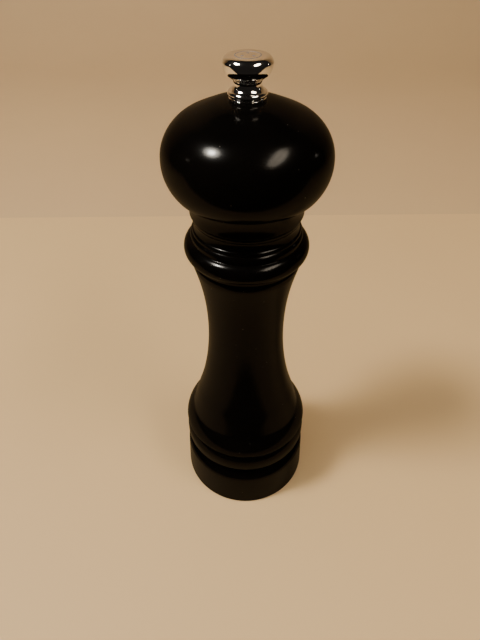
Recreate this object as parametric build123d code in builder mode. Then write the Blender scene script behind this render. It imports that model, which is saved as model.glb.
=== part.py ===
from build123d import *
import os

# Pepper mill: turned wooden body and head, chromed adjusting knob, steel grinder.
# Millimetres, +Z up, origin at the centre of the face that the mill stands on.

# ---- driving dimensions ----
HEIGHT = 180.0
FOOT_R = 27.0
CHAMBER_R = 10.5
JOINT_Z = 135.2  # top of the body, where the head begins
JOINT_GAP = 0.2
BULB_R = 25.4
BULB_Z = 152.5  # height of the bulb's widest line
HEAD_TOP_Z = 169.3  # flat seat under the knob's washer

SHAFT_SIDE = 5.0
SOCKET_SIDE = 5.1  # square hole that the rod slides in
THREAD_R = 2.5
THREAD_PITCH = 0.8
TURNS_FINER = 1.0
TURNS_COARSER = 2.0
TRAVEL_UP = TURNS_FINER * THREAD_PITCH
TRAVEL_DOWN = TURNS_COARSER * THREAD_PITCH
SLIDE_FIT = 0.05  # clearance on each side of a sliding or turning fit
TURN_GAP = 0.3  # clearance between wooden parts that turn
STACK_GAP = 0.1  # play between pieces stacked on the rod
EDGE = 0.4  # chamfer on machined edges
CUT_START = 1.0  # how far below its piece a flute cutter starts

SHEET = 1.2  # thickness of the steel bars
RECESS_R = 22.5
CROSSBAR_Z = 5.6
GRINDER_R = 17.5
GRINDER_Z = CROSSBAR_Z + SHEET
GRINDER_H = 15.8
SHOULDER_Z = GRINDER_Z + GRINDER_H + SHEET
SPIGOT_R = 12.3
SPIGOT_Z = 119.0
COUNTERBORE_Z = 116.5

SCREW_HEAD_H = 1.0
SCREW_HEAD_EDGE = 0.3
SCREW_TAPER = 1.5  # degrees


def wood_screw(head_z, head_r, shank_r, shank_length):
    """Return a slotted wood screw on the Z axis, pointing up, with its head under head_z."""
    with BuildPart() as screw:
        with BuildSketch(Plane.XY.offset(head_z - SCREW_HEAD_H)):
            Circle(head_r)
        extrude(amount=SCREW_HEAD_H)
        chamfer(screw.edges().group_by(Axis.Z)[0], SCREW_HEAD_EDGE)
        with BuildSketch(Plane.XY.offset(head_z)):
            Circle(shank_r)
        extrude(amount=shank_length, taper=SCREW_TAPER)
        with BuildSketch(Plane.XY.offset(head_z - SCREW_HEAD_H)):
            Rectangle(2 * head_r, head_r / 3)
        extrude(amount=SCREW_HEAD_H / 2, mode=Mode.SUBTRACT)
    return screw.part


# ---- body: foot band, two rings, waist, collar; bored from both ends ----
CROSSBAR_SCREW_X = 19.7
CROSSBAR_SCREW_R = 1.4
CROSSBAR_SCREW_L = 8.0
KEY_WIDTH = 4.0
KEY_R = 18.6
KEY_GAP = 0.1

with BuildPart() as body:
    with BuildSketch(Plane.XZ):
        with BuildLine():
            # foot band with its rounded shoulder
            band = Line((FOOT_R - 0.4, 0), (FOOT_R, 0.6))
            side = Line(band @ 1, (26.35, 16.6))
            shoulder = TangentArc(side @ 1, (25.2, 18.9), tangent=side % 1)
            slope = Line(shoulder @ 1, (23.7, 20.6))
            groove = RadiusArc(slope @ 1, (24.1, 24.3), -2.2)
            # lower ring: sharp lower edge, rounded top
            edge = Line(groove @ 1, (26.0, 25.5))
            ring = Line(edge @ 1, (26.0, 28.0))
            fall = TangentArc(ring @ 1, (24.5, 32.2), tangent=ring % 1)
            groove2 = RadiusArc(fall @ 1, (24.6, 33.5), -0.9)
            # upper ring: drawn in at its foot, rounded in to the waist
            foot2 = Line(groove2 @ 1, (25.35, 33.8))
            edge2 = Line(foot2 @ 1, (25.9, 35.0))
            fall2 = ThreePointArc(edge2 @ 1, (25.0, 38.3), (22.95, 41.5))
            lip2 = Line(fall2 @ 1, (22.75, 41.75))
            foot_quirk = Line(lip2 @ 1, (22.5, 42.1))
            waist = Spline(
                foot_quirk @ 1,
                (21.7, 44.6),
                (20.08, 50.0),
                (18.55, 55.0),
                (15.95, 67.0),
                (14.3, 88.0),
                (15.85, 106.0),
                (18.15, 116.0),
                tangents=((-0.34, 1), (0.28, 1)),
            )
            # collar: deep quirk, torus with a sharp lower edge, fillet, bead, hollow neck
            waist_edge = Line(waist @ 1, (18.2, 117.4))
            top_quirk = Line(waist_edge @ 1, (17.8, 118.1))
            hollow = Line(top_quirk @ 1, (18.3, 120.4))
            lip = Line(hollow @ 1, (20.05, 120.9))
            torus = ThreePointArc(lip @ 1, (20.75, 122.7), (18.3, 126.6))
            step = Line(torus @ 1, (18.45, 126.95))
            fillet_side = Line(step @ 1, (18.4, 128.3))
            fillet_edge = Line(fillet_side @ 1, (17.95, 129.0))
            fillet_top = Line(fillet_edge @ 1, (17.7, 129.2))
            bead = ThreePointArc(fillet_top @ 1, (17.7, 130.0), (17.25, 130.6))
            neck = ThreePointArc(bead @ 1, (17.0, 132.3), (17.5, 134.2))
            neck_side = Line(neck @ 1, (17.6, JOINT_Z - 0.3))
            rim = Line(neck_side @ 1, (17.35, JOINT_Z))
            Polyline(rim @ 1, (0, JOINT_Z), (0, 0), band @ 0)
        make_face()
    revolve(axis=Axis.Z)
    with BuildSketch():
        Circle(RECESS_R)
    extrude(amount=GRINDER_Z, mode=Mode.SUBTRACT)
    with BuildSketch(Plane.XY.offset(GRINDER_Z)):
        Circle(GRINDER_R)
        Rectangle(KEY_WIDTH + 2 * KEY_GAP, 2 * (KEY_R + KEY_GAP))
    extrude(amount=SHOULDER_Z - GRINDER_Z, mode=Mode.SUBTRACT)
    with BuildSketch(Plane.XY.offset(SHOULDER_Z)):
        Circle(CHAMBER_R)
    extrude(amount=JOINT_Z - SHOULDER_Z, mode=Mode.SUBTRACT)
    with BuildSketch(Plane.XY.offset(COUNTERBORE_Z)):
        Circle(SPIGOT_R + TURN_GAP)
    extrude(amount=JOINT_Z - COUNTERBORE_Z, mode=Mode.SUBTRACT)
    with BuildSketch(Plane.XY.offset(GRINDER_Z)):
        with Locations((-CROSSBAR_SCREW_X, 0), (CROSSBAR_SCREW_X, 0)):
            Circle(CROSSBAR_SCREW_R + SLIDE_FIT)
    extrude(amount=CROSSBAR_SCREW_L, mode=Mode.SUBTRACT)
body.part.label = "body"

# ---- head: bulb, flared neck and the spigot that turns in the body ----
PLATE_H = 1.5
PLATE_Z = SPIGOT_Z - PLATE_H
PLATE_R = 10.0
PLATE_SCREW_X = 7.0
PLATE_SCREW_R = 1.2
PLATE_SCREW_HEAD_R = 2.2
PLATE_SCREW_L = 9.0
SPIGOT_EDGE = 0.8
SHAFT_HOLE_R = 3.9  # clears the square rod's corners

with BuildPart() as head:
    with BuildSketch(Plane.XZ):
        with BuildLine():
            spigot = Line((0, SPIGOT_Z), (SPIGOT_R - SPIGOT_EDGE, SPIGOT_Z))
            chamfer_line = Line(spigot @ 1, (SPIGOT_R, SPIGOT_Z + SPIGOT_EDGE))
            spigot_side = Line(chamfer_line @ 1, (SPIGOT_R, JOINT_Z + JOINT_GAP))
            face = Line(spigot_side @ 1, (17.9, JOINT_Z + JOINT_GAP))
            rim = Line(face @ 1, (18.15, JOINT_Z + JOINT_GAP + 0.3))
            flare = ThreePointArc(rim @ 1, (18.3, 138.2), (19.5, 141.6))
            quirk = Line(flare @ 1, (19.8, 142.6))
            underside = Line(quirk @ 1, (22.05, 143.3))
            edge = Line(underside @ 1, (22.4, 143.7))
            side = TangentArc((BULB_R, BULB_Z), edge @ 1, tangent=(0, -1))
            crown = Spline(
                (BULB_R, BULB_Z),
                (25.02, 156.0),
                (23.27, 160.0),
                (20.05, 163.5),
                (14.3, 166.5),
                (5.7, HEAD_TOP_Z),
                tangents=((0, 1), (-1, 0.12)),
            )
            Polyline(crown @ 1, (0, HEAD_TOP_Z), spigot @ 0)
        make_face()
    revolve(axis=Axis.Z)
    with BuildSketch(Plane.XY.offset(SPIGOT_Z)):
        Circle(SHAFT_HOLE_R)
    extrude(amount=HEAD_TOP_Z - SPIGOT_Z, mode=Mode.SUBTRACT)
    with BuildSketch(Plane.XY.offset(SPIGOT_Z)):
        with Locations((-PLATE_SCREW_X, 0), (PLATE_SCREW_X, 0)):
            Circle(PLATE_SCREW_R + SLIDE_FIT)
    extrude(amount=PLATE_SCREW_L, mode=Mode.SUBTRACT)
head.part.label = "head"

# ---- drive plate under the spigot, with its two screws ----
with BuildPart() as drive_plate:
    with BuildSketch(Plane.XY.offset(PLATE_Z)):
        Circle(PLATE_R)
        Rectangle(SOCKET_SIDE, SOCKET_SIDE, mode=Mode.SUBTRACT)
        with Locations((-PLATE_SCREW_X, 0), (PLATE_SCREW_X, 0)):
            Circle(PLATE_SCREW_R + SLIDE_FIT, mode=Mode.SUBTRACT)
    extrude(amount=SPIGOT_Z - PLATE_Z)
drive_plate.part.label = "drive_plate"

plate_screw = wood_screw(PLATE_Z, PLATE_SCREW_HEAD_R, PLATE_SCREW_R, PLATE_SCREW_L)
with BuildPart() as drive_plate_screws:
    with Locations((-PLATE_SCREW_X, 0), (PLATE_SCREW_X, 0)):
        add(plate_screw)
drive_plate_screws.part.label = "drive_plate_screws"

# ---- knob, its brass insert and its washer ----
WASHER_H = 0.6
WASHER_R = 5.15
WASHER_HOLE_R = 3.0
WASHER_EDGE = 0.2
KNOB_Z = HEAD_TOP_Z + WASHER_H + STACK_GAP
INSERT_R = 3.2
INSERT_TOP_Z = 177.6

with BuildPart() as knob:
    with BuildSketch(Plane.XZ):
        with BuildLine():
            base = Line((0, KNOB_Z), (4.9, KNOB_Z))
            foot = ThreePointArc(base @ 1, (5.5, 170.75), (4.9, 171.5))
            stem = ThreePointArc(foot @ 1, (3.9, 173.0), (4.8, 174.7))
            cup = Line(stem @ 1, (5.95, 175.55))
            bead = ThreePointArc(cup @ 1, (6.5, 176.7), (6.82, 178.3))
            rim = ThreePointArc(bead @ 1, (6.3, 179.4), (5.0, HEIGHT))
            Polyline(rim @ 1, (0, HEIGHT), base @ 0)
        make_face()
    revolve(axis=Axis.Z)
    with BuildSketch(Plane.XY.offset(KNOB_Z)):
        Circle(INSERT_R)
    extrude(amount=INSERT_TOP_Z - KNOB_Z, mode=Mode.SUBTRACT)
knob.part.label = "knob"

with BuildPart() as knob_insert:
    with BuildSketch(Plane.XY.offset(KNOB_Z)):
        Circle(INSERT_R)
        Circle(THREAD_R + SLIDE_FIT, mode=Mode.SUBTRACT)
    extrude(amount=INSERT_TOP_Z - KNOB_Z)
knob_insert.part.label = "knob_insert"

with BuildPart() as knob_washer:
    with BuildSketch(Plane.XY.offset(HEAD_TOP_Z)):
        Circle(WASHER_R)
        Circle(WASHER_HOLE_R, mode=Mode.SUBTRACT)
    extrude(amount=WASHER_H)
    chamfer(knob_washer.edges().group_by(Axis.Z)[-1].sort_by(SortBy.LENGTH)[-1], WASHER_EDGE)
knob_washer.part.label = "knob_washer"

# ---- shaft: round pivot, square rod, threaded top ----
PIVOT_Z = 4.4
CLIP_H = 0.8
CLIP_R = 5.5
CLIP_CLEARANCE = 0.6  # from the clip to the crossbar at the coarsest setting
ROTOR_Z = GRINDER_Z + TRAVEL_DOWN + CLIP_H + CLIP_CLEARANCE
SQUARE_TOP_Z = 168.5
SHAFT_TOP_Z = 176.6

with BuildPart() as shaft:
    with BuildSketch(Plane.XY.offset(PIVOT_Z)):
        Circle(THREAD_R)
    extrude(amount=ROTOR_Z - PIVOT_Z)
    with BuildSketch(Plane.XY.offset(ROTOR_Z)):
        Rectangle(SHAFT_SIDE, SHAFT_SIDE)
    extrude(amount=SQUARE_TOP_Z - ROTOR_Z)
    with BuildSketch(Plane.XY.offset(SQUARE_TOP_Z)):
        Circle(THREAD_R)
    extrude(amount=SHAFT_TOP_Z - SQUARE_TOP_Z)
    chamfer(shaft.edges().group_by(Axis.Z)[-1], EDGE)
    chamfer(shaft.edges().group_by(Axis.Z)[0], EDGE)
shaft.part.label = "shaft"

# ---- rotor: hub and grinding cone with coarse and fine flutes ----
ROTOR_H = 12.5
ROTOR_TOP_Z = ROTOR_Z + ROTOR_H
ROTOR_FOOT_R = 13.2
CONE_SLOPE = 0.3  # radius lost for each millimetre of height in the fine zone
FINE_H = 4.5
FINE_GAP = 0.65
FINE_FLUTES = 30
COARSE_FLUTES = 5
FINE_TOP_R = ROTOR_FOOT_R - CONE_SLOPE * FINE_H
HUB_R = 6.2
HUB_FOOT_R = 6.8
HUB_H = 1.5
FINE_CUT_OUT = 0.25  # how far outside the cone a fine cutter is centred
FINE_CUT_R = 0.75
FINE_CUT_L = 7.5
FINE_TWIST = 0.35  # sideways lean of a flute for each millimetre of height
COARSE_CUT_IN = 0.2
COARSE_CUT_R = 2.0
COARSE_CUT_L = 16.5
COARSE_SLOPE = 0.62
COARSE_TWIST = 0.75

fine_place = (ROTOR_FOOT_R + FINE_CUT_OUT, 0, ROTOR_Z - CUT_START)
with BuildPart() as fine_cutter:
    with BuildSketch(Plane(fine_place, z_dir=(-CONE_SLOPE, FINE_TWIST, 1))):
        RegularPolygon(FINE_CUT_R, 4)
    extrude(amount=FINE_CUT_L)

coarse_place = (FINE_TOP_R - COARSE_CUT_IN, 0, ROTOR_Z + FINE_H - CUT_START)
with BuildPart() as coarse_cutter:
    with BuildSketch(Plane(coarse_place, z_dir=(-COARSE_SLOPE, COARSE_TWIST, 1))):
        Circle(COARSE_CUT_R)
    extrude(amount=COARSE_CUT_L)

with BuildPart() as rotor:
    with BuildSketch(Plane.XZ):
        with BuildLine():
            Polyline(
                (0, ROTOR_Z),
                (ROTOR_FOOT_R - EDGE, ROTOR_Z),
                (ROTOR_FOOT_R, ROTOR_Z + EDGE),
                (FINE_TOP_R, ROTOR_Z + FINE_H),
                (HUB_FOOT_R, ROTOR_TOP_Z - HUB_H),
                (HUB_R, ROTOR_TOP_Z),
                (0, ROTOR_TOP_Z),
                close=True,
            )
        make_face()
    revolve(axis=Axis.Z)
    with PolarLocations(0, FINE_FLUTES):
        add(fine_cutter.part, mode=Mode.SUBTRACT)
    with PolarLocations(0, COARSE_FLUTES):
        add(coarse_cutter.part, mode=Mode.SUBTRACT)
    with BuildSketch(Plane.XY.offset(ROTOR_Z)):
        Rectangle(SHAFT_SIDE, SHAFT_SIDE)
    extrude(amount=ROTOR_H, mode=Mode.SUBTRACT)
rotor.part.label = "rotor"

CLIP_SLOTS = 3
CLIP_SLOT_R = 3.1
CLIP_SLOT_L = 1.6
CLIP_SLOT_W = 1.0

with BuildPart() as rotor_clip:
    with BuildSketch(Plane.XY.offset(ROTOR_Z - CLIP_H)):
        Circle(CLIP_R)
        Circle(THREAD_R, mode=Mode.SUBTRACT)
        with PolarLocations(CLIP_SLOT_R, CLIP_SLOTS):
            Rectangle(CLIP_SLOT_L, CLIP_SLOT_W, mode=Mode.SUBTRACT)
    extrude(amount=CLIP_H)
rotor_clip.part.label = "rotor_clip"

# ---- stator: grinding ring, keyed in the body's bore ----
STATOR_R = GRINDER_R - SLIDE_FIT
STATOR_FLUTES = 24
FINE_Z = ROTOR_Z - TRAVEL_DOWN
FINE_WALL_R = ROTOR_FOOT_R + FINE_GAP + CONE_SLOPE * (ROTOR_Z - FINE_Z)
MOUTH_R = 13.8
THROAT_H = FINE_H + 1.5  # height of the fine zone in the ring
THROAT_R = FINE_WALL_R - CONE_SLOPE * THROAT_H
STATOR_CUT_IN = 0.5
STATOR_CUT_R = 0.9
STATOR_CUT_L = 19.8
STATOR_SLOPE = 0.08
STATOR_TWIST = 0.3

stator_place = (MOUTH_R - STATOR_CUT_IN, 0, GRINDER_Z - CUT_START)
with BuildPart() as stator_cutter:
    with BuildSketch(Plane(stator_place, z_dir=(-STATOR_SLOPE, -STATOR_TWIST, 1))):
        RegularPolygon(STATOR_CUT_R, 4)
    extrude(amount=STATOR_CUT_L)

with BuildPart() as stator:
    with BuildSketch(Plane.XZ):
        with BuildLine():
            Polyline(
                (FINE_WALL_R, GRINDER_Z),
                (STATOR_R, GRINDER_Z),
                (STATOR_R, GRINDER_Z + GRINDER_H),
                (MOUTH_R, GRINDER_Z + GRINDER_H),
                (THROAT_R, FINE_Z + THROAT_H),
                (FINE_WALL_R, FINE_Z),
                close=True,
            )
        make_face()
    revolve(axis=Axis.Z)
    with PolarLocations(0, STATOR_FLUTES):
        add(stator_cutter.part, mode=Mode.SUBTRACT)
    with BuildSketch(Plane.XY.offset(GRINDER_Z)):
        with Locations((0, STATOR_R), (0, -STATOR_R)):
            Rectangle(KEY_WIDTH, 2 * (KEY_R - STATOR_R))
    extrude(amount=GRINDER_H)
stator.part.label = "stator"

# ---- bridge over the grinder, with the bush that the square shaft slides in ----
LEG_X = 8.8
BRIDGE_WIDTH = 10.4
BRIDGE_HALF = 16.4
SPRING_H = 11.3
SPRING_Z = ROTOR_TOP_Z + WASHER_H
FLANGE_Z = SPRING_Z + SPRING_H
FLANGE_H = 1.0
BUSH_WASHER_Z = FLANGE_Z + FLANGE_H
BRIDGE_TOP_Z = BUSH_WASHER_Z + WASHER_H + STACK_GAP
BUSH_R = 4.3
BUSH_TOP_Z = BRIDGE_TOP_Z + SHEET + 1.0  # the bush stands 1 mm proud of the bridge
FLANGE_R = 6.4

with BuildPart() as bridge:
    with BuildSketch(Plane.XZ):
        with BuildLine():
            Polyline(
                (-BRIDGE_HALF, SHOULDER_Z - SHEET),
                (-LEG_X + SHEET, SHOULDER_Z - SHEET),
                (-LEG_X + SHEET, BRIDGE_TOP_Z),
                (LEG_X - SHEET, BRIDGE_TOP_Z),
                (LEG_X - SHEET, SHOULDER_Z - SHEET),
                (BRIDGE_HALF, SHOULDER_Z - SHEET),
                (BRIDGE_HALF, SHOULDER_Z),
                (LEG_X, SHOULDER_Z),
                (LEG_X, BRIDGE_TOP_Z + SHEET),
                (-LEG_X, BRIDGE_TOP_Z + SHEET),
                (-LEG_X, SHOULDER_Z),
                (-BRIDGE_HALF, SHOULDER_Z),
                close=True,
            )
        make_face()
    extrude(amount=BRIDGE_WIDTH / 2, both=True)
    fillet(bridge.edges().filter_by(Axis.Y).group_by(Axis.Z)[-1], SHEET)
    with BuildSketch(Plane.XY.offset(BRIDGE_TOP_Z)):
        Circle(BUSH_R + SLIDE_FIT)
    extrude(amount=SHEET, mode=Mode.SUBTRACT)
bridge.part.label = "bridge"

with BuildPart() as bridge_bush:
    with BuildSketch(Plane.XY.offset(FLANGE_Z)):
        Circle(FLANGE_R)
    extrude(amount=FLANGE_H)
    with BuildSketch(Plane.XY.offset(BUSH_WASHER_Z)):
        Circle(BUSH_R)
    extrude(amount=BUSH_TOP_Z - BUSH_WASHER_Z)
    chamfer(bridge_bush.edges().group_by(Axis.Z)[-1], EDGE)
    with BuildSketch(Plane.XY.offset(FLANGE_Z)):
        Rectangle(SOCKET_SIDE, SOCKET_SIDE)
    extrude(amount=BUSH_TOP_Z - FLANGE_Z, mode=Mode.SUBTRACT)
bridge_bush.part.label = "bridge_bush"

with BuildPart() as bridge_washer:
    with BuildSketch(Plane.XY.offset(BUSH_WASHER_Z)):
        Circle(FLANGE_R)
        Circle(BUSH_R + SLIDE_FIT, mode=Mode.SUBTRACT)
    extrude(amount=WASHER_H)
bridge_washer.part.label = "bridge_washer"

# ---- spring between the bush and the rotor ----
WIRE_R = 0.45
COIL_R = 4.35
COILS = 5
SPRING_WASHER_R = 5.6

with BuildPart() as spring:
    with BuildLine():
        coil = Helix(
            pitch=(SPRING_H - 2 * WIRE_R) / COILS,
            height=SPRING_H - 2 * WIRE_R,
            radius=COIL_R,
            center=(0, 0, SPRING_Z + WIRE_R),
        )
    with BuildSketch(Plane(coil @ 0, z_dir=coil % 0)):
        Circle(WIRE_R)
    sweep(is_frenet=True)
    # both ends are ground flat
    split(bisect_by=Plane.XY.offset(SPRING_Z), keep=Keep.TOP)
    split(bisect_by=Plane.XY.offset(FLANGE_Z), keep=Keep.BOTTOM)
spring.part.label = "spring"

with BuildPart() as spring_washer:
    with BuildSketch(Plane.XY.offset(ROTOR_TOP_Z)):
        Circle(SPRING_WASHER_R)
        Rectangle(SHAFT_SIDE, SHAFT_SIDE, mode=Mode.SUBTRACT)
    extrude(amount=WASHER_H)
spring_washer.part.label = "spring_washer"

# ---- crossbar under the grinding ring, with its two screws ----
CROSSBAR_HALF = 21.7
CROSSBAR_WIDTH = 9.0
CROSSBAR_HUB_R = 5.6
PIVOT_FIT = 0.1  # clearance round the rod's pivot and the screws
CROSSBAR_SCREW_HEAD_R = 2.5

with BuildPart() as crossbar:
    with BuildSketch(Plane.XY.offset(CROSSBAR_Z)):
        SlotOverall(2 * CROSSBAR_HALF, CROSSBAR_WIDTH)
        Circle(CROSSBAR_HUB_R)
        Circle(THREAD_R + PIVOT_FIT, mode=Mode.SUBTRACT)
        with Locations((-CROSSBAR_SCREW_X, 0), (CROSSBAR_SCREW_X, 0)):
            Circle(CROSSBAR_SCREW_R + PIVOT_FIT, mode=Mode.SUBTRACT)
    extrude(amount=SHEET)
crossbar.part.label = "crossbar"

crossbar_screw = wood_screw(
    CROSSBAR_Z,
    CROSSBAR_SCREW_HEAD_R,
    CROSSBAR_SCREW_R,
    SHEET + CROSSBAR_SCREW_L,
)
with BuildPart() as crossbar_screws:
    with Locations((-CROSSBAR_SCREW_X, 0), (CROSSBAR_SCREW_X, 0)):
        add(crossbar_screw)
crossbar_screws.part.label = "crossbar_screws"

# ---- write each piece ----
pieces = [
    body,
    head,
    drive_plate,
    drive_plate_screws,
    knob,
    knob_insert,
    knob_washer,
    shaft,
    rotor,
    rotor_clip,
    stator,
    bridge,
    bridge_bush,
    bridge_washer,
    spring,
    spring_washer,
    crossbar,
    crossbar_screws,
]
os.makedirs("parts", exist_ok=True)
for piece in pieces:
    export_step(piece.part, f"parts/{piece.part.label}.step")
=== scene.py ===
import math

import bpy
from mathutils import Matrix, Vector


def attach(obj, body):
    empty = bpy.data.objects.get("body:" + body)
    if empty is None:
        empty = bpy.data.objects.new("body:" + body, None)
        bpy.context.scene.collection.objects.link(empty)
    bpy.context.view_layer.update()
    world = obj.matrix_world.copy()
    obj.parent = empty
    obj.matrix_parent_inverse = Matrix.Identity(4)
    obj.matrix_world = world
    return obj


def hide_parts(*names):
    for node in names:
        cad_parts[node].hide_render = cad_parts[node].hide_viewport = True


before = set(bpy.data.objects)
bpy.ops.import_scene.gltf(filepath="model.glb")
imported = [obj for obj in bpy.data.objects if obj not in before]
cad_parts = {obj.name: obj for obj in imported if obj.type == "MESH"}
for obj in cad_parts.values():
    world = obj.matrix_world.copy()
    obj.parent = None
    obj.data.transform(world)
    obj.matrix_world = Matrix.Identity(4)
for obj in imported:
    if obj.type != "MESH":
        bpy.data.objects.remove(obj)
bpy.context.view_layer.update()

# A black lacquered pepper mill. The body, the head, the knob and the knob's mark are lathe-turned here at a
# finer grade than the CAD; every other piece keeps its CAD shape and gets its metal.
# Outlines are (radius, height) in millimetres, as in the CAD; everything handed to Blender is in metres.
MM = 0.001
AROUND = 224  # faces round a turned piece
STEP = 1.2  # longest stretch between two points of an outline
ARC_STEP = math.radians(6)  # widest angle between two points of an arc
ARC_LEAST = 6  # fewest stretches in an arc
SHARP = math.radians(20)  # a corner that bends more than this is rounded
SOFT_CORNER = 0.28  # how far lacquer rounds a turned edge
SOFT_SHARE = 0.45  # the most of a stretch that a rounded corner takes
SOFT_STEPS = (0, 0.25, 0.5, 0.75, 1)
TINY = 1e-6  # a length below this counts as nothing


# ---------------------------------------------------------------- outlines
class Outline:
    """A turned piece's outline. Each stretch carries the material index that its faces get."""

    def __init__(self, r, z):
        self.points = [(r, z)]
        self.slots = []
        self.slot = 0

    def _add(self, points):
        self.points += points
        self.slots += [self.slot] * len(points)
        return self

    def paint(self, slot):
        self.slot = slot
        return self

    def line(self, *ends):
        for end in ends:
            start = self.points[-1]
            count = max(1, math.ceil(math.dist(start, end) / STEP))
            self._add([_between(start, end, i / count) for i in range(1, count + 1)])
        return self

    def arc(self, middle, end):
        start = self.points[-1]
        centre = _circle_centre(start, middle, end)
        radius = math.dist(centre, start)
        first = _angle(centre, start)
        turn = _turn(first, _angle(centre, middle), _angle(centre, end))
        count = max(ARC_LEAST, math.ceil(abs(turn) / ARC_STEP), math.ceil(abs(turn) * radius / STEP))
        angles = [first + turn * i / count for i in range(1, count + 1)]
        x, y = centre
        return self._add([(x + radius * math.cos(a), y + radius * math.sin(a)) for a in angles])

    def tangent_arc(self, end, tangent):
        """An arc from the last point to end that leaves along tangent."""
        start = Vector(self.points[-1])
        heading = Vector(tangent).normalized()
        chord = Vector(end) - start
        side = Vector((-heading.y, heading.x))
        radius = chord.length_squared / (2 * chord.dot(side))
        centre = start + radius * side
        halfway = (start + Vector(end)) / 2 - centre
        return self.arc(tuple(centre + halfway.normalized() * abs(radius)), end)

    def curve(self, knots, first_tangent, last_tangent):
        """A smooth cubic through the knots, from the last point on."""
        stops = [Vector(self.points[-1])] + [Vector(k) for k in knots]
        tangents = [Vector(first_tangent).normalized()]
        for before, here, after in zip(stops, stops[1:], stops[2:]):
            back, ahead = (here - before), (after - here)
            slope = back / back.length * ahead.length + ahead / ahead.length * back.length
            tangents.append(slope / (back.length + ahead.length))
        tangents.append(Vector(last_tangent).normalized())
        for a, b, ta, tb in zip(stops, stops[1:], tangents, tangents[1:]):
            length = (b - a).length
            count = math.ceil(length / STEP)
            shares = [i / count for i in range(1, count + 1)]
            self._add([tuple(_hermite(a, b, ta * length, tb * length, t)) for t in shares])
        return self

    def softened(self, radius):
        """The same closed outline with each sharp corner rounded off."""
        points, slots = [], []
        closed = math.dist(self.points[0], self.points[-1]) < TINY
        loop = self.points[:-1] if closed else self.points
        labels = self.slots + [self.slot] * (len(loop) - len(self.slots))
        for i, here in enumerate(loop):
            before, after = loop[i - 1], loop[(i + 1) % len(loop)]
            back, ahead = Vector(before) - Vector(here), Vector(after) - Vector(here)
            bend = math.pi - back.angle(ahead)
            if bend < SHARP or here[0] < TINY:
                points.append(here)
                slots.append(labels[i])
                continue
            cut = min(radius, SOFT_SHARE * back.length, SOFT_SHARE * ahead.length)
            first = Vector(here) + back.normalized() * cut
            last = Vector(here) + ahead.normalized() * cut
            for t in SOFT_STEPS:
                rounded = first * (1 - t) ** 2 + Vector(here) * 2 * t * (1 - t) + last * t * t
                points.append(tuple(rounded))
                slots.append(labels[i] if t == 1 else labels[i - 1])
        return points, slots


def _between(a, b, t):
    return (a[0] + (b[0] - a[0]) * t, a[1] + (b[1] - a[1]) * t)


def _angle(centre, point):
    return math.atan2(point[1] - centre[1], point[0] - centre[0])


def _turn(first, middle, last):
    """The signed angle from first to last that passes middle."""
    ahead = (last - first) % math.tau
    return ahead if (middle - first) % math.tau < ahead else ahead - math.tau


def _circle_centre(a, b, c):
    """The centre of the circle through three points."""
    d = 2 * (a[0] * (b[1] - c[1]) + b[0] * (c[1] - a[1]) + c[0] * (a[1] - b[1]))
    sa, sb, sc = (p[0] ** 2 + p[1] ** 2 for p in (a, b, c))
    x = (sa * (b[1] - c[1]) + sb * (c[1] - a[1]) + sc * (a[1] - b[1])) / d
    y = (sa * (c[0] - b[0]) + sb * (a[0] - c[0]) + sc * (b[0] - a[0])) / d
    return (x, y)


def _hermite(a, b, ta, tb, t):
    return (
        a * (2 * t**3 - 3 * t**2 + 1)
        + ta * (t**3 - 2 * t**2 + t)
        + b * (3 * t**2 - 2 * t**3)
        + tb * (t**3 - t**2)
    )


# ---------------------------------------------------------------- meshes
def new_piece(name, vertices, faces, slots, materials):
    """A smooth-shaded mesh object from vertices in metres."""
    mesh = bpy.data.meshes.new(name)
    mesh.from_pydata(vertices, [], faces)
    for material in materials:
        mesh.materials.append(material)
    mesh.polygons.foreach_set("material_index", slots)
    mesh.polygons.foreach_set("use_smooth", [True] * len(faces))
    mesh.update()
    piece = bpy.data.objects.new(name, mesh)
    bpy.context.scene.collection.objects.link(piece)
    return piece


def turned(name, outline, materials, softness=SOFT_CORNER, around=AROUND):
    """The closed outline spun round the Z axis. A point on the axis becomes a pole."""
    points, labels = outline.softened(softness)
    vertices, rings = [], []
    for r, z in points:
        if r < TINY:
            rings.append([len(vertices)])
            vertices.append((0, 0, z * MM))
            continue
        rings.append(range(len(vertices), len(vertices) + around))
        for i in range(around):
            angle = math.tau * i / around
            vertices.append((r * MM * math.cos(angle), r * MM * math.sin(angle), z * MM))
    faces, slots = [], []
    for k, low in enumerate(rings):
        high = rings[(k + 1) % len(rings)]
        if len(low) == 1 and len(high) == 1:
            continue
        for i in range(around):
            j = (i + 1) % around
            corners = [low[i % len(low)], low[j % len(low)], high[j % len(high)], high[i % len(high)]]
            faces.append(list(dict.fromkeys(corners)))
            slots.append(labels[k])
    return new_piece(name, vertices, faces, slots, materials)


# ---------------------------------------------------------------- materials
def material(name, slot_colour):
    """A new node material, its node tree and its Principled shader."""
    made = bpy.data.materials.new(name)
    made.use_nodes = True
    made.diffuse_color = (*slot_colour, 1)
    return made, made.node_tree, made.node_tree.nodes["Principled BSDF"]


def node(tree, kind, inputs=(), **settings):
    """A new shader node. An input is a value or the output that feeds it."""
    made = tree.nodes.new(kind)
    for key, value in settings.items():
        setattr(made, key, value)
    for key, value in dict(inputs).items():
        if isinstance(value, bpy.types.NodeSocket):
            tree.links.new(value, made.inputs[key])
        else:
            made.inputs[key].default_value = value
    return made


def here(tree, scale=(1, 1, 1)):
    """Object coordinates in metres, stretched by scale."""
    place = node(tree, "ShaderNodeTexCoord")
    return node(tree, "ShaderNodeMapping", {"Vector": place.outputs["Object"], "Scale": scale}).outputs[0]


def noise(tree, vector, scale, detail=4.0, rough=0.55):
    settings = {"Vector": vector, "Scale": scale, "Detail": detail, "Roughness": rough}
    return node(tree, "ShaderNodeTexNoise", settings).outputs[0]


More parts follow.
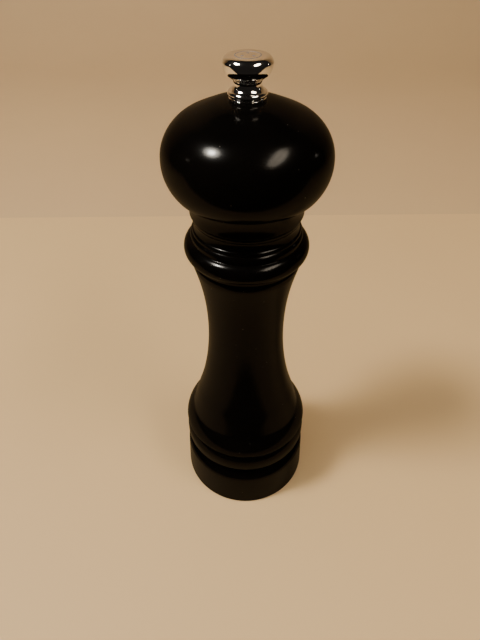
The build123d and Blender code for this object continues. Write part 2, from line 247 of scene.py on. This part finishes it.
def ramp(tree, factor, *stops):
    """A colour ramp: stops are (position, colour)."""
    made = node(tree, "ShaderNodeValToRGB", {"Fac": factor})
    elements = made.color_ramp.elements
    while len(elements) < len(stops):
        elements.new(0.5)
    for element, (position, colour) in zip(elements, stops):
        element.position = position
        element.color = (*colour, 1)
    return made.outputs[0]


def spread(tree, factor, low, high):
    """A value from 0..1 mapped to low..high."""
    return node(tree, "ShaderNodeMapRange", {"Value": factor, "To Min": low, "To Max": high}).outputs[0]


def maths(tree, operation, *values):
    """The result of a Math node."""
    return node(tree, "ShaderNodeMath", dict(enumerate(values)), operation=operation).outputs[0]


def mix(tree, factor, a, b, blend="MIX"):
    """Two colours mixed by factor."""
    inputs = {"Factor": factor, "A": a, "B": b}
    made = node(tree, "ShaderNodeMix", inputs, data_type="RGBA", blend_type=blend)
    return made.outputs["Result"]


def bump(tree, height, distance, strength=1.0, under=None):
    """A normal from a height, on top of the normal under it."""
    inputs = {"Height": height, "Distance": distance, "Strength": strength}
    if under is not None:
        inputs["Normal"] = under
    return node(tree, "ShaderNodeBump", inputs).outputs[0]


def rings_of(tree, per_metre):
    """Noise that only changes with height and radius: the fine rings that a lathe leaves."""
    place = node(tree, "ShaderNodeSeparateXYZ", {"Vector": here(tree)}).outputs
    square = maths(tree, "MULTIPLY", place[0], place[0])
    both = maths(tree, "MULTIPLY_ADD", place[1], place[1], square)
    radius = maths(tree, "SQRT", both)
    flat = node(tree, "ShaderNodeCombineXYZ", {"X": radius, "Z": place[2]}).outputs[0]
    return noise(tree, flat, per_metre, detail=3.0, rough=0.6)


def black_lacquer():
    """Satin-gloss black lacquer on turned beech: faint rings, pores under the film, a little dust."""
    made, tree, shader = material("black_lacquer", (0.01, 0.01, 0.01))
    rings = rings_of(tree, per_metre=3200)
    pores = noise(tree, here(tree, (1, 1, 0.06)), scale=2600, detail=3.0)
    peel = noise(tree, here(tree), scale=900, detail=2.0)
    film = noise(tree, here(tree), scale=2200, detail=3.0)
    black, brownish = (0.0011, 0.0009, 0.0008), (0.0022, 0.0018, 0.0015)
    dust_grey = (0.12, 0.11, 0.10, 1)
    tint = ramp(tree, noise(tree, here(tree), scale=60), (0.3, black), (0.7, brownish))
    dust = node(tree, "ShaderNodeTexVoronoi", {"Vector": here(tree), "Scale": 260.0}).outputs["Distance"]
    speck = ramp(tree, dust, (0.0, (1, 1, 1)), (0.045, (0, 0, 0)))
    tree.links.new(mix(tree, speck, tint, dust_grey), shader.inputs["Base Color"])
    tree.links.new(spread(tree, rings, low=0.36, high=0.48), shader.inputs["Roughness"])
    surface = bump(tree, rings, distance=0.000004)
    surface = bump(tree, pores, distance=0.000005, under=surface)
    surface = bump(tree, peel, distance=0.000006, under=surface)
    tree.links.new(surface, shader.inputs["Normal"])
    tree.links.new(bump(tree, film, distance=0.0000035), shader.inputs["Coat Normal"])
    shader.inputs["Coat Weight"].default_value = 0.22
    shader.inputs["Coat Roughness"].default_value = 0.14
    shader.inputs["Coat IOR"].default_value = 1.33
    shader.inputs["Specular IOR Level"].default_value = 0.0
    return made


def bare_beech():
    """Turned beech without lacquer: fine vertical grain, short dark flecks and cutter rings."""
    made, tree, shader = material("bare_beech", (0.62, 0.42, 0.26))
    grain = noise(tree, here(tree, (1, 1, 0.05)), scale=900, detail=6.0, rough=0.6)
    figure = noise(tree, here(tree, (1, 1, 0.12)), scale=90, detail=3.0)
    flecks = noise(tree, here(tree, (1, 1, 0.10)), scale=3800, detail=2.0, rough=0.4)
    tone = ramp(tree, figure, (0.3, (0.50, 0.31, 0.17)), (0.7, (0.64, 0.43, 0.26)))
    lines = ramp(tree, grain, (0.35, (0.72, 0.66, 0.60)), (0.62, (1, 1, 1)))
    spots = ramp(tree, flecks, (0.28, (0.55, 0.42, 0.32)), (0.40, (1, 1, 1)))
    lined = mix(tree, 0.8, tone, lines, "MULTIPLY")
    tree.links.new(mix(tree, 0.7, lined, spots, "MULTIPLY"), shader.inputs["Base Color"])
    tree.links.new(spread(tree, grain, low=0.55, high=0.75), shader.inputs["Roughness"])
    surface = bump(tree, rings_of(tree, per_metre=1500), distance=0.00003, strength=0.6)
    surface = bump(tree, grain, distance=0.00003, strength=0.7, under=surface)
    tree.links.new(surface, shader.inputs["Normal"])
    return made


def metal(name, dark, light, rough, turned_marks=2600, bump_height=0.000003, cast=False):
    """A metal with a tone that wanders from dark to light and lathe rings, or a cast skin."""
    made, tree, shader = material(name, light)
    marks = noise(tree, here(tree), scale=700, detail=5.0) if cast else rings_of(tree, turned_marks)
    stain = noise(tree, here(tree), scale=120, detail=4.0)
    tree.links.new(ramp(tree, stain, (0.3, dark), (0.72, light)), shader.inputs["Base Color"])
    tree.links.new(spread(tree, marks, rough * 0.75, rough * 1.35), shader.inputs["Roughness"])
    scratches = noise(tree, here(tree, (1, 0.08, 1)), scale=5200, detail=2.0)
    surface = bump(tree, marks, bump_height)
    tree.links.new(bump(tree, scratches, bump_height * 0.5, under=surface), shader.inputs["Normal"])
    shader.inputs["Metallic"].default_value = 1.0
    return made


def etched_grey():
    """The matt grey of a mark etched into chrome."""
    made, tree, shader = material("etched_grey", (0.1, 0.1, 0.1))
    grit = noise(tree, here(tree), scale=9000, detail=3.0)
    shade = ramp(tree, grit, (0.3, (0.045, 0.045, 0.05)), (0.7, (0.10, 0.10, 0.105)))
    tree.links.new(shade, shader.inputs["Base Color"])
    tree.links.new(spread(tree, grit, low=0.45, high=0.65), shader.inputs["Roughness"])
    tree.links.new(bump(tree, grit, distance=0.00001), shader.inputs["Normal"])
    shader.inputs["Metallic"].default_value = 0.7
    return made


lacquer = black_lacquer()
beech = bare_beech()
chrome = metal(
    "polished_chrome",
    dark=(0.66, 0.64, 0.62),
    light=(0.80, 0.78, 0.76),
    rough=0.055,
    turned_marks=2200,
    bump_height=0.0000012,
)
brass = metal("turned_brass", dark=(0.60, 0.42, 0.17), light=(0.80, 0.62, 0.30), rough=0.24)
aluminium = metal(
    "drawn_aluminium",
    dark=(0.62, 0.63, 0.64),
    light=(0.82, 0.83, 0.84),
    rough=0.30,
    turned_marks=1800,
    bump_height=0.000005,
)
zinc = metal(
    "zinc_plate",
    dark=(0.50, 0.50, 0.48),
    light=(0.70, 0.69, 0.66),
    rough=0.30,
    cast=True,
    bump_height=0.000006,
)
wire = metal("spring_wire", dark=(0.30, 0.30, 0.30), light=(0.52, 0.52, 0.51), rough=0.24, cast=True)
hardened = metal(
    "hardened_steel",
    dark=(0.16, 0.155, 0.15),
    light=(0.34, 0.33, 0.31),
    rough=0.36,
    cast=True,
    bump_height=0.00001,
)


# ---------------------------------------------------------------- turned pieces
RECESS_R = 22.5  # the hollow under the foot
RECESS_TOP = 6.8
GRINDER_R = 17.5  # where the grinding ring sits
CHAMBER_R = 10.5
CHAMBER_FLOOR = 23.8
MOUTH_R = 12.6  # the wider mouth that the head's spigot turns in
MOUTH_FLOOR = 116.5
BODY_TOP = 135.2
SPIGOT_R = 12.3
SPIGOT_FOOT = 119.0
HEAD_FOOT = 135.4
HEAD_TOP = 169.3
ROD_HOLE_R = 3.9
KNOB_FOOT = 170.0
KNOB_TOP = 179.95  # its flat top, just below its rim
KNOB_BORE_R = 3.2
KNOB_BORE_TOP = 177.6


def body_outline():
    """Lacquered outside (0), bare wood in the bores and the grinder's recess (1)."""
    shell = Outline(RECESS_R, 0)
    shell.line((26.6, 0), (27.0, 0.6), (26.35, 16.6))
    shell.tangent_arc((25.2, 18.9), (-0.65, 16.0))
    shell.line((23.7, 20.6)).arc((23.0, 22.6), (24.1, 24.3)).line((26.0, 25.5), (26.0, 28.0))
    shell.tangent_arc((24.5, 32.2), (0, 1)).arc((23.94, 32.91), (24.6, 33.5))
    shell.line((25.35, 33.8), (25.9, 35.0)).arc((25.0, 38.3), (22.95, 41.5))
    shell.line((22.75, 41.75), (22.5, 42.1))
    low = [(21.7, 44.6), (20.08, 50.0), (18.55, 55.0), (15.95, 67.0)]
    high = [(14.3, 88.0), (15.85, 106.0), (18.15, 116.0)]
    shell.curve(low + high, (-0.34, 1), (0.28, 1))
    shell.line((18.2, 117.4), (17.8, 118.1), (18.3, 120.4), (20.05, 120.9))
    shell.arc((20.75, 122.7), (18.3, 126.6))
    shell.line((18.45, 126.95), (18.4, 128.3), (17.95, 129.0), (17.7, 129.2))
    shell.arc((17.7, 130.0), (17.25, 130.6)).arc((17.0, 132.3), (17.5, 134.2))
    shell.line((17.6, 134.9), (17.35, BODY_TOP), (15.2, BODY_TOP))
    shell.paint(1).line((MOUTH_R, BODY_TOP), (MOUTH_R, MOUTH_FLOOR))
    shell.line((CHAMBER_R, MOUTH_FLOOR), (CHAMBER_R, CHAMBER_FLOOR))
    shell.line((GRINDER_R, CHAMBER_FLOOR), (GRINDER_R, RECESS_TOP))
    shell.line((RECESS_R, RECESS_TOP), (RECESS_R, 0))
    return shell


def head_outline():
    """Lacquered bulb and neck (0), bare spigot and rod hole (1)."""
    shell = Outline(ROD_HOLE_R, SPIGOT_FOOT).paint(1)
    shell.line((11.5, SPIGOT_FOOT), (SPIGOT_R, 119.8), (SPIGOT_R, HEAD_FOOT)).paint(0)
    shell.line((17.9, HEAD_FOOT), (18.15, 135.7)).arc((18.3, 138.2), (19.5, 141.6))
    shell.line((19.8, 142.6), (22.05, 143.3), (22.4, 143.7)).tangent_arc((25.4, 152.5), (0.611, 0.792))
    crown = [(25.02, 156.0), (23.27, 160.0), (20.05, 163.5), (14.3, 166.5), (5.7, HEAD_TOP)]
    shell.curve(crown, (0, 1), (-1, 0.12)).line((ROD_HOLE_R, HEAD_TOP)).paint(1)
    shell.line((ROD_HOLE_R, SPIGOT_FOOT))
    return shell


def knob_outline():
    """Foot ring, hollow neck, flaring grip and a flat top, with the bore of the threaded insert."""
    shell = Outline(KNOB_BORE_R, KNOB_FOOT)
    shell.line((4.9, KNOB_FOOT)).arc((5.5, 170.75), (4.9, 171.5)).arc((3.9, 173.0), (4.8, 174.7))
    shell.line((5.95, 175.55)).arc((6.5, 176.7), (6.82, 178.3)).arc((6.3, 179.4), (5.0, 180.0))
    shell.line((4.8, KNOB_TOP), (0, KNOB_TOP))
    shell.line((0, KNOB_BORE_TOP), (KNOB_BORE_R, KNOB_BORE_TOP), (KNOB_BORE_R, KNOB_FOOT))
    return shell


body = turned("body_shell", body_outline(), [lacquer, beech])
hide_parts("body")
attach(body, "body")

head = turned("head_shell", head_outline(), [lacquer, beech])
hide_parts("head")
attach(head, "head")

knob = turned("knob_shell", knob_outline(), [chrome], softness=0.15)
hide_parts("knob")
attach(knob, "knob")

# a generic mark on the knob: a ring and three dots, etched into the flat top
etched = etched_grey()
MARK_Z = 179.93
MARK_TOP = 179.97
RING_IN = 3.25
RING_OUT = 3.5
DOTS = 3
DOT_R = 0.42
DOT_PLACE = 1.7 * MM  # from the axis
ring_outline = Outline(RING_IN, MARK_Z).line((RING_OUT, MARK_Z), (RING_OUT, MARK_TOP))
ring_outline.line((RING_IN, MARK_TOP), (RING_IN, MARK_Z))
marks = [turned("knob_mark_ring", ring_outline, [etched], softness=0.0, around=96)]
for number in range(DOTS):
    angle = math.radians(90 + 360 / DOTS * number)
    dot_outline = Outline(0, MARK_Z).line((DOT_R, MARK_Z), (DOT_R, MARK_TOP), (0, MARK_TOP))
    dot = turned(f"knob_mark_dot_{number}", dot_outline, [etched], softness=0.0, around=24)
    place = (DOT_PLACE * math.cos(angle), DOT_PLACE * math.sin(angle), 0)
    dot.data.transform(Matrix.Translation(place))
    marks.append(dot)
for mark in marks:
    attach(mark, "knob")

# ---------------------------------------------------------------- CAD pieces that keep their shape
finishes = {
    "knob_washer": chrome,
    "knob_insert": brass,
    "bridge_bush": brass,
    "shaft": aluminium,
    "drive_plate": zinc,
    "drive_plate_screws": zinc,
    "bridge": zinc,
    "bridge_washer": zinc,
    "spring_washer": zinc,
    "crossbar": zinc,
    "crossbar_screws": zinc,
    "rotor_clip": wire,
    "spring": wire,
    "rotor": hardened,
    "stator": hardened,
}
for name, finish in finishes.items():
    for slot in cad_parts[name].material_slots:
        slot.material = finish


# ---------------------------------------------------------------- room, camera, lights
def matt(name, colour, change):
    """A plain matt surface with a slight cloudiness."""
    made, tree, shader = material(name, colour)
    cloud = noise(tree, here(tree), scale=9, detail=4.0)
    darker = tuple(c * (1 - change) for c in colour)
    tree.links.new(ramp(tree, cloud, (0.3, darker), (0.7, colour)), shader.inputs["Base Color"])
    shader.inputs["Roughness"].default_value = 0.7
    shader.inputs["Specular IOR Level"].default_value = 0.2
    return made


def sweep(name, near, profile, finish):
    """A studio sheet: its near edge is near (left y, right y), and profile goes on from there as (y, z)."""
    edge = [(-HALF, near[0], 0), (HALF, near[1], 0)]
    vertices = edge + [(x, y, z) for y, z in profile for x in (-HALF, HALF)]
    faces = [(2 * i, 2 * i + 1, 2 * i + 3, 2 * i + 2) for i in range(len(profile))]
    new_piece(name, vertices, faces, [0] * len(faces), [finish])


HALF = 1.8  # half the room's width
FRONT = -1.5  # the table's front edge
NEAR = -0.11  # the table is in two parts, which meet here
SEAM = (0.185, 0.265)  # where the table's tone changes, left and right
CURVE_Y = 0.60  # where the backdrop starts to rise
CURVE_R = 0.35
CURVE_STEP = 7.5  # degrees
WALL_TOP = 1.3
steps = [math.radians(CURVE_STEP * i) for i in range(round(90 / CURVE_STEP) + 1)]
rise = [(CURVE_Y + CURVE_R * math.sin(a), CURVE_R * (1 - math.cos(a))) for a in steps]
pale = matt("pale_table", (0.64, 0.440, 0.212), 0.03)
backdrop = matt("pale_backdrop", (0.56, 0.386, 0.204), 0.03)
table = [(-HALF, NEAR, 0), (HALF, NEAR, 0), (HALF, SEAM[1], 0), (-HALF, SEAM[0], 0)]
new_piece("table", table, [(0, 1, 2, 3)], [0], [pale])
# what lies nearer than the camera is dark in reflections, like whoever stands behind a camera
front = [(-HALF, FRONT, 0), (HALF, FRONT, 0), (HALF, NEAR, 0), (-HALF, NEAR, 0)]
near_table = new_piece("near_table", front, [(0, 1, 2, 3)], [0], [pale])
near_table.visible_glossy = False
sweep("backdrop", SEAM, rise + [(CURVE_Y + CURVE_R, WALL_TOP)], backdrop)


def aim(obj, target):
    """Turns a lamp to face target."""
    direction = Vector(target) - obj.location
    obj.rotation_euler = direction.to_track_quat("-Z", "Y").to_euler()


def area_light(name, place, target, size, watts, colour):
    """An elliptical lamp that lights the scene without being seen by the camera."""
    data = bpy.data.lights.new(name, "AREA")
    data.shape = "ELLIPSE"
    data.size, data.size_y = size
    data.energy = watts
    data.color = colour
    lamp = bpy.data.objects.new(name, data)
    lamp.location = place
    lamp.visible_camera = False
    bpy.context.scene.collection.objects.link(lamp)
    aim(lamp, target)
    return lamp


def strip_light(name, start, end, target, width, watts, colour):
    """A long lamp between two points that faces target."""
    along = (Vector(end) - Vector(start)).normalized()
    middle = (Vector(start) + Vector(end)) / 2
    lamp = area_light(name, middle, target, (math.dist(start, end), width), watts, colour)
    back = (middle - Vector(target)).normalized()
    across = back.cross(along).normalized()
    facing = Matrix((along, across, along.cross(across))).transposed()
    lamp.rotation_euler = facing.to_euler()
    return lamp


TILT = math.radians(42.385)  # down from the horizontal
ROLL = math.radians(-0.20)
YAW = math.radians(-0.72)
VIEWPOINT = (-0.0005, -0.14024, 0.21606)


def camera():
    """The viewpoint of the photograph: above and in front, looking down at the mill."""
    ahead = Vector((math.sin(YAW) * math.cos(TILT), math.cos(YAW) * math.cos(TILT), -math.sin(TILT)))
    level = Vector((math.cos(YAW), -math.sin(YAW), 0))
    up = level.cross(ahead)
    right = level * math.cos(ROLL) + up * math.sin(ROLL)
    upright = up * math.cos(ROLL) - level * math.sin(ROLL)
    data = bpy.data.cameras.new("camera")
    data.lens = 28.125
    data.sensor_width = 36
    data.clip_start = 0.005
    made = bpy.data.objects.new("camera", data)
    axes = Matrix((right, upright, -ahead)).transposed()
    made.matrix_world = Matrix.Translation(VIEWPOINT) @ axes.to_4x4()
    bpy.context.scene.collection.objects.link(made)
    bpy.context.scene.camera = made


camera()
MIDDLE = (0, 0, 0.12)  # what the lamps face
LEFT = (-0.63, -0.19, 1.05)
RIGHT = ((0.485, -0.72, 0.865), (0.62, -0.06, 1.035))  # the long lamp's two ends
FAR_LEFT = (-1.04, -0.06, 0.56)
FAR_RIGHT = (1.05, 0.25, 0.44)
POINT = (0.05, 0.05)  # size of a far lamp
CREAM = (1.0, 0.95, 0.86)
HONEY = (1.0, 0.9, 0.75)
AMBER = (1.0, 0.84, 0.64)
area_light("lamp_left", LEFT, MIDDLE, size=(0.28, 0.28), watts=13.5, colour=(1.0, 0.88, 0.69))
strip_light("lamp_right", *RIGHT, MIDDLE, width=0.16, watts=5, colour=AMBER)
# the lamps' bright hearts, the halos round them and two far lamps, which only show in gloss
gleams = [
    area_light("gleam_left", LEFT, MIDDLE, size=(0.10, 0.10), watts=52, colour=CREAM),
    area_light("halo_left", LEFT, MIDDLE, size=(0.38, 0.32), watts=17, colour=CREAM),
    strip_light("gleam_right", *RIGHT, MIDDLE, width=0.06, watts=30, colour=AMBER),
    strip_light("halo_right", *RIGHT, MIDDLE, width=0.30, watts=9, colour=(1.0, 0.86, 0.68)),
    area_light("gleam_far_left", FAR_LEFT, MIDDLE, size=POINT, watts=0.12, colour=HONEY),
    area_light("gleam_far_right", FAR_RIGHT, MIDDLE, size=POINT, watts=0.11, colour=HONEY),
]
for gleam in gleams:
    gleam.visible_diffuse = False
# one broad lamp that evens out the table and isn't seen in gloss
OVERHEAD = (-0.3, -0.3, 1.5)
TABLE_MIDDLE = (-0.1, 0.05, 0)
wash = area_light("wash", OVERHEAD, TABLE_MIDDLE, size=(1.2, 1.2), watts=9.0, colour=(1.0, 0.97, 0.92))
wash.visible_glossy = False

DIM = (0.016, 0.014, 0.012, 1)  # the room beyond the lamps
world = bpy.data.worlds.new("world")
world.use_nodes = True
world.node_tree.nodes["Background"].inputs["Color"].default_value = DIM
bpy.context.scene.world = world
